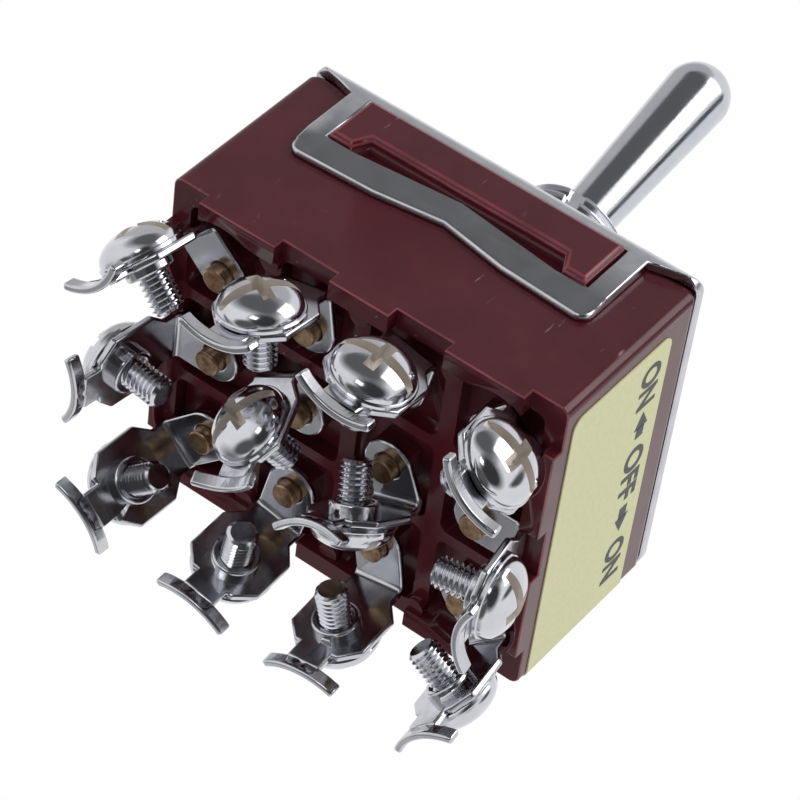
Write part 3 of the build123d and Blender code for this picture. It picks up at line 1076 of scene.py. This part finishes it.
@dataclass
class TerminalBank:
    """Twelve fanned screw terminals with their rivets."""

    nodes: dict[str, Object]
    joints: list[dict[str, Any]]
    terminal_edge: float = 0.2
    terminal_edge_segments: int = 3
    rivet_edge: float = 0.16
    head_r: float = 3.85
    head_rim: float = 0.5
    head_height: float = 2.6
    rim_edge: float = 0.12
    rim_step: float = 0.1
    dome_r: float = 3.65
    dome_step: int = 6
    shank_r: float = 1.45
    shank_length: float = 5.15
    tip_edge: float = 0.35
    screw_edge: float = 0.07
    head_steps: int = 64
    thread_pitch: float = 0.5
    thread_turns: int = 9
    thread_steps: int = 40
    recess_width: float = 1.3
    recess_depth: float = 1.45
    slot_floor: float = 0.8
    cross_length: float = 4.6
    cross_floor: float = 0.6
    floor_width: float = 0.6
    punch_height: float = 2.0
    dimple_r: float = 0.35
    dimple_place: tuple[float, float] = (2.75, 0.95)
    # degrees from across the blade to each slot, as the screws were left when driven
    slot_turns: dict[str, float] = field(
        default_factory=lambda: {
            "1a": 20, "1b": 62, "1c": 2, "1d": 0,
            "2a": -35, "2b": 50, "2c": 15, "2d": 5,
            "3a": 70, "3b": -20, "3c": 40, "3d": -55,
        }
    )

    def build(self) -> None:
        """Builds the terminals, the rivets and the screws."""
        plate, brass = PLATED_TERMINAL.material(), BRASS.material()
        master = self.screw_master()
        for name in (row + pole for row in ROWS for pole in POLES):
            lug = softened(
                self.nodes[f"terminal_{name}"],
                f"pressed_terminal_{name}",
                plate,
                self.terminal_edge,
                self.terminal_edge_segments,
            )
            dress(lug, Body.HOUSING, f"terminal_{name}")
            rivet_node = f"contact_rivet_{name}"
            rivet = softened(self.nodes[rivet_node], f"brass_rivet_{name}", brass, self.rivet_edge)
            dress(rivet, Body.HOUSING, rivet_node)
            screw = copied(master, f"binding_screw_{name}")
            screw.data.transform(self.screw_frame(name))
            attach(screw, f"screw_{name}")
            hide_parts(f"terminal_screw_{name}")
            logger.info("%s: %d faces on its own body", screw.name, len(screw.data.polygons))
        bpy.data.objects.remove(master)

    def screw_frame(self, name: str) -> Matrix:
        """Finds the place, direction and turn of a screw from its own frame node.

        Args:
            name: Row and pole, such as 2b.

        Returns:
            Frame with its origin at the head's seat, X along the slot and Z out of the head.
        """
        joint = next(joint for joint in self.joints if joint["child"] == f"screw_{name}")
        axis = Vector(joint["axis"]).normalized()
        screw = self.nodes[f"terminal_screw_{name}"]
        points = {v.co.copy().freeze() for v in screw.data.vertices}
        tip_level = min(point.dot(axis) for point in points)
        tip = [point for point in points if point.dot(axis) < tip_level + SAME_PLACE * MM]
        seat = sum(tip, Vector()) / len(tip) + axis * self.shank_length * MM
        across = Vector((-axis.y, axis.x, 0)).normalized()
        facing = Matrix((across, axis.cross(across), axis)).transposed().to_4x4()
        slot = Matrix.Rotation(math.radians(self.slot_turns[name]), 4, "Z")
        return Matrix.Translation(seat) @ facing @ slot

    def screw_master(self) -> Object:
        """Models one binding head screw, its seat at Z = 0 and its slot along X.

        Returns:
            The screw about the origin, to be copied.
        """
        rise = self.head_height - self.head_rim
        turns = [math.radians(angle) for angle in range(0, 91, self.dome_step)]
        dome = [(self.dome_r * math.cos(a), self.head_rim + rise * math.sin(a)) for a in turns]
        dome[-1] = (0.0, self.head_height)
        points = [
            (0.0, -self.shank_length),
            (self.shank_r - self.tip_edge, -self.shank_length),
            (self.shank_r, -self.shank_length + self.tip_edge),
            (self.shank_r, 0.0),
            (self.head_r - self.rim_edge, 0.0),
            (self.head_r, self.rim_edge),
            (self.head_r, self.head_rim - self.rim_step),
            (self.head_r - self.rim_step, self.head_rim),
            *dome,
        ]
        head = turned("binding_screw", points, self.head_steps)
        head.data.materials.append(PLATED_SCREW.material())
        recess = RECESS.material()
        slot = (2 * self.head_r + 1, self.slot_floor, 0)
        cross = (self.cross_length, self.cross_floor, math.pi / 2)
        for length, share, turn in (slot, cross):
            punch = self.wing(length, share)
            punch.data.transform(Matrix.Rotation(turn, 4, "Z"))
            punch.data.materials.append(recess)
            cut(head, punch)
        cut(head, self.dimple_punch())
        cut_thread(
            head,
            self.shank_r,
            self.thread_pitch,
            -self.shank_length,
            self.thread_turns,
            self.thread_steps,
        )
        activate(head)
        bpy.ops.object.shade_smooth_by_angle(angle=math.radians(30))
        apply_modifier(
            head,
            "BEVEL",
            width=self.screw_edge * MM,
            segments=2,
            limit_method="ANGLE",
            angle_limit=math.radians(50),
            harden_normals=True,
            use_clamp_overlap=True,
        )
        return head

    def wing(self, length: float, share: float) -> Object:
        """Makes a punch for one wing of the recess, narrower and shorter at its floor.

        Args:
            length: Length at the mouth in millimetres.
            share: Length of the floor as a share of the mouth's.

        Returns:
            The punch, along X.
        """
        middle = self.head_height - self.recess_depth + self.punch_height / 2
        size = (length, self.recess_width, self.punch_height)
        tool = block("punch", (0, 0, middle), size)
        with editing(tool, lambda co: co.z < middle * MM):
            taper = (share, self.floor_width, 1)
            bpy.ops.transform.resize(value=taper, center_override=(0, 0, 0))
        return tool

    def dimple_punch(self) -> Object:
        """Makes the ball that marks the dome with a dimple beside one end of the slot.

        Returns:
            The ball, where it strikes.
        """
        x, y = self.dimple_place
        share = math.hypot(x, y) / self.dome_r
        level = self.head_rim + (self.head_height - self.head_rim) * math.sqrt(1 - share**2)
        return added(
            "dimple",
            bpy.ops.mesh.primitive_uv_sphere_add,
            segments=20,
            ring_count=10,
            radius=self.dimple_r * MM,
            location=Vector((x, y, level + self.dimple_r / 3)) * MM,
        )


@dataclass
class Mechanism:
    """Hidden works: carriage, plungers, springs, contacts and the lever's pin."""

    nodes: dict[str, Object]

    def build(self) -> None:
        """Gives each hidden node the finish of its real material."""
        finishes = {
            "carriage": THERMOSET.material(),
            "plunger_spring": STEEL.material(),
            "plunger": THERMOSET.material(),
            "rocker_contact": CONTACT_BRASS.material(),
            "lever_pin": STEEL.material(),
        }
        for name, obj in self.nodes.items():
            for start, material in finishes.items():
                if name.startswith(start):
                    obj.material_slots[0].material = material
                    logger.info("%s: %s", name, material.name)
                    break


# Studio
@dataclass(frozen=True)
class Panel:
    """Something that stands round the switch and is seen in its plating.

    Its place is an azimuth from +X and an elevation in degrees, and its size is the
    angle that it covers from the switch. Softness is the share of it that its edge fades over.
    """

    name: str
    azimuth: float
    elevation: float
    width: float
    height: float
    level: float
    distance: float
    softness: float = 0.0

    def place(self) -> Vector:
        """Finds the centre of the panel.

        Returns:
            The centre in metres.
        """
        around, up = math.radians(self.azimuth), math.radians(self.elevation)
        flat = math.cos(up)
        way = Vector((flat * math.cos(around), flat * math.sin(around), math.sin(up)))
        return self.distance * way

    def size(self) -> tuple[float, float]:
        """Gives width and height in metres."""
        halves = (math.radians(angle / 2) for angle in (self.width, self.height))
        return tuple(2 * self.distance * math.tan(half) for half in halves)


@dataclass
class Studio:
    """White studio: pale floor, soft lamps, dark cards and the camera below the switch."""

    camera_place: Triple = (115.97, -221.12, -203.67)
    camera_turn: Triple = (139.268, -36.882, -7.359)
    focal_px: float = 3673.1
    image_px: float = 800.0
    sensor: float = 36.0
    clip: tuple[float, float] = (0.01, 20.0)
    floor_size: float = 4.0
    floor_drop: float = 0.3
    floor_colour: str = "#ececec"
    white: str = "#ffffff"
    soft_light: float = 0.7
    seen_light: float = 1.0
    # lamps, with the brightness at which their reflections show
    lamps: tuple[Panel, ...] = (
        Panel("window_box", -49, 31, 42, 32, 3.0, 0.6),
        Panel("low_box", -86, -36, 15, 12, 3.0, 0.6),
    )
    # cards, with the grey at which their reflections show
    cards: tuple[Panel, ...] = (
        Panel("dark_room", -48, -34, 96, 84, 0.05, 0.9, 0.5),
        Panel("grey_wall", -104, 10, 116, 76, 0.14, 1.0, 0.6),
        Panel("pale_wall", -130, 44, 110, 60, 0.6, 1.1, 0.3),
        Panel("door_edge", -5, 26, 20, 56, 0.1, 0.8, 0.5),
        Panel("table_shade", -60, -86, 70, 70, 0.12, 0.8, 0.4),
        Panel("far_table", 118, -48, 80, 64, 0.25, 1.0, 0.8),
    )

    def build(self) -> None:
        """Builds the floor, the world, the lamps, the cards and the camera."""
        bpy.context.scene.view_settings.view_transform = "Standard"
        self.floor()
        self.world()
        for panel in self.lamps:
            self.lamp(panel)
        for panel in self.cards:
            self.card(panel)
        self.camera()

    def floor(self) -> None:
        """Lays a pale floor under the terminals that is seen only from above."""
        place = (0, 0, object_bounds()[0][2] - self.floor_drop * MM)
        plane = bpy.ops.mesh.primitive_plane_add
        floor = added("floor", plane, size=self.floor_size, location=place)
        material = bpy.data.materials.new("pale_floor")
        tree = emptied(material)
        side = node(tree, "ShaderNodeNewGeometry").outputs["Backfacing"]
        matte = node(tree, "ShaderNodeBsdfDiffuse", {"Color": linear(self.floor_colour)})
        clear = node(tree, "ShaderNodeBsdfTransparent")
        mix = node(
            tree,
            "ShaderNodeMixShader",
            links={0: side, 1: matte.outputs["BSDF"], 2: clear.outputs["BSDF"]},
        )
        node(tree, "ShaderNodeOutputMaterial", links={"Surface": mix.outputs["Shader"]})
        floor.data.materials.append(material)
        floor.visible_diffuse = False
        floor.visible_glossy = False
        floor.visible_shadow = False
        floor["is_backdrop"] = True

    def world(self) -> None:
        """Lights softly all round, and shows the camera and the metal a white room."""
        world = bpy.data.worlds.new("white_room")
        bpy.context.scene.world = world
        tree = emptied(world)
        rays = node(tree, "ShaderNodeLightPath").outputs
        seen = node(
            tree,
            "ShaderNodeMath",
            links={0: rays["Is Camera Ray"], 1: rays["Is Glossy Ray"]},
            operation="MAXIMUM",
        )
        through = node(
            tree,
            "ShaderNodeMath",
            links={0: seen.outputs["Value"], 1: rays["Is Transmission Ray"]},
            operation="MAXIMUM",
        )
        soft, white = [
            node(tree, "ShaderNodeBackground", {"Color": linear(self.white), "Strength": strength})
            for strength in (self.soft_light, self.seen_light)
        ]
        mix = node(
            tree,
            "ShaderNodeMixShader",
            links={
                0: through.outputs["Value"],
                1: soft.outputs["Background"],
                2: white.outputs["Background"],
            },
        )
        node(tree, "ShaderNodeOutputWorld", links={"Surface": mix.outputs["Shader"]})

    def lamp(self, panel: Panel) -> None:
        """Hangs a soft box whose face has the panel's brightness.

        Args:
            panel: Place, size and brightness of the lamp.
        """
        width, height = panel.size()
        light = bpy.data.lights.new(panel.name, "AREA")
        light.shape = "RECTANGLE"
        light.size, light.size_y = width, height
        light.energy = panel.level * math.pi * width * height
        obj = bpy.data.objects.new(panel.name, light)
        obj.location = panel.place()
        obj.rotation_euler = (-panel.place()).to_track_quat("-Z", "Y").to_euler()
        bpy.context.scene.collection.objects.link(obj)

    def card(self, panel: Panel) -> None:
        """Stands a soft-edged oval card that only reflections see, for the metal's contrast.

        Args:
            panel: Place, size, grey and softness of the card.
        """
        card = added(panel.name, bpy.ops.mesh.primitive_plane_add, size=1.0)
        card.data.transform(Matrix.Diagonal((*panel.size(), 1, 1)))
        facing = (-panel.place()).to_track_quat("Z", "Y").to_matrix().to_4x4()
        card.data.transform(Matrix.Translation(panel.place()) @ facing)
        material = bpy.data.materials.new(panel.name)
        tree = emptied(material)
        centred = node(
            tree,
            "ShaderNodeMapping",
            {"Location": (-1, -1, 0), "Scale": (2, 2, 1)},
            {"Vector": node(tree, "ShaderNodeTexCoord").outputs["UV"]},
        )
        oval = node(
            tree,
            "ShaderNodeTexGradient",
            links={"Vector": centred.outputs["Vector"]},
            gradient_type="SPHERICAL",
        )
        edge = node(
            tree,
            "ShaderNodeMapRange",
            {"From Min": 0.0, "From Max": panel.softness},
            {"Value": oval.outputs["Fac"]},
        )
        glow = {"Color": linear(self.white), "Strength": panel.level}
        grey = node(tree, "ShaderNodeEmission", glow)
        clear = node(tree, "ShaderNodeBsdfTransparent")
        mix = node(
            tree,
            "ShaderNodeMixShader",
            links={
                0: edge.outputs["Result"],
                1: clear.outputs["BSDF"],
                2: grey.outputs["Emission"],
            },
        )
        node(tree, "ShaderNodeOutputMaterial", links={"Surface": mix.outputs["Shader"]})
        card.data.materials.append(material)
        card.visible_camera = False
        card.visible_diffuse = False
        card.visible_transmission = False
        card.visible_shadow = False
        card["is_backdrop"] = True

    def camera(self) -> None:
        """Sets the camera where the photograph was taken from, below the switch."""
        lens = bpy.data.cameras.new("camera")
        lens.sensor_width = self.sensor
        lens.lens = self.focal_px / self.image_px * self.sensor
        lens.clip_start, lens.clip_end = self.clip
        obj = bpy.data.objects.new("camera", lens)
        obj.location = Vector(self.camera_place) * MM
        obj.rotation_euler = [math.radians(angle) for angle in self.camera_turn]
        bpy.context.scene.collection.objects.link(obj)
        bpy.context.scene.camera = obj


def main() -> None:
    """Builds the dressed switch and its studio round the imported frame."""
    logging.basicConfig(level=logging.INFO, format="%(name)s %(message)s")
    for start_up in list(bpy.data.objects):
        bpy.data.objects.remove(start_up)
    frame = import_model()
    nodes = frame["nodes"]
    Housing(nodes).build()
    LeverSet().build()
    TerminalBank(nodes, frame["joints"]).build()
    Mechanism(nodes).build()
    Studio().build()


if __name__ == "__main__":
    main()
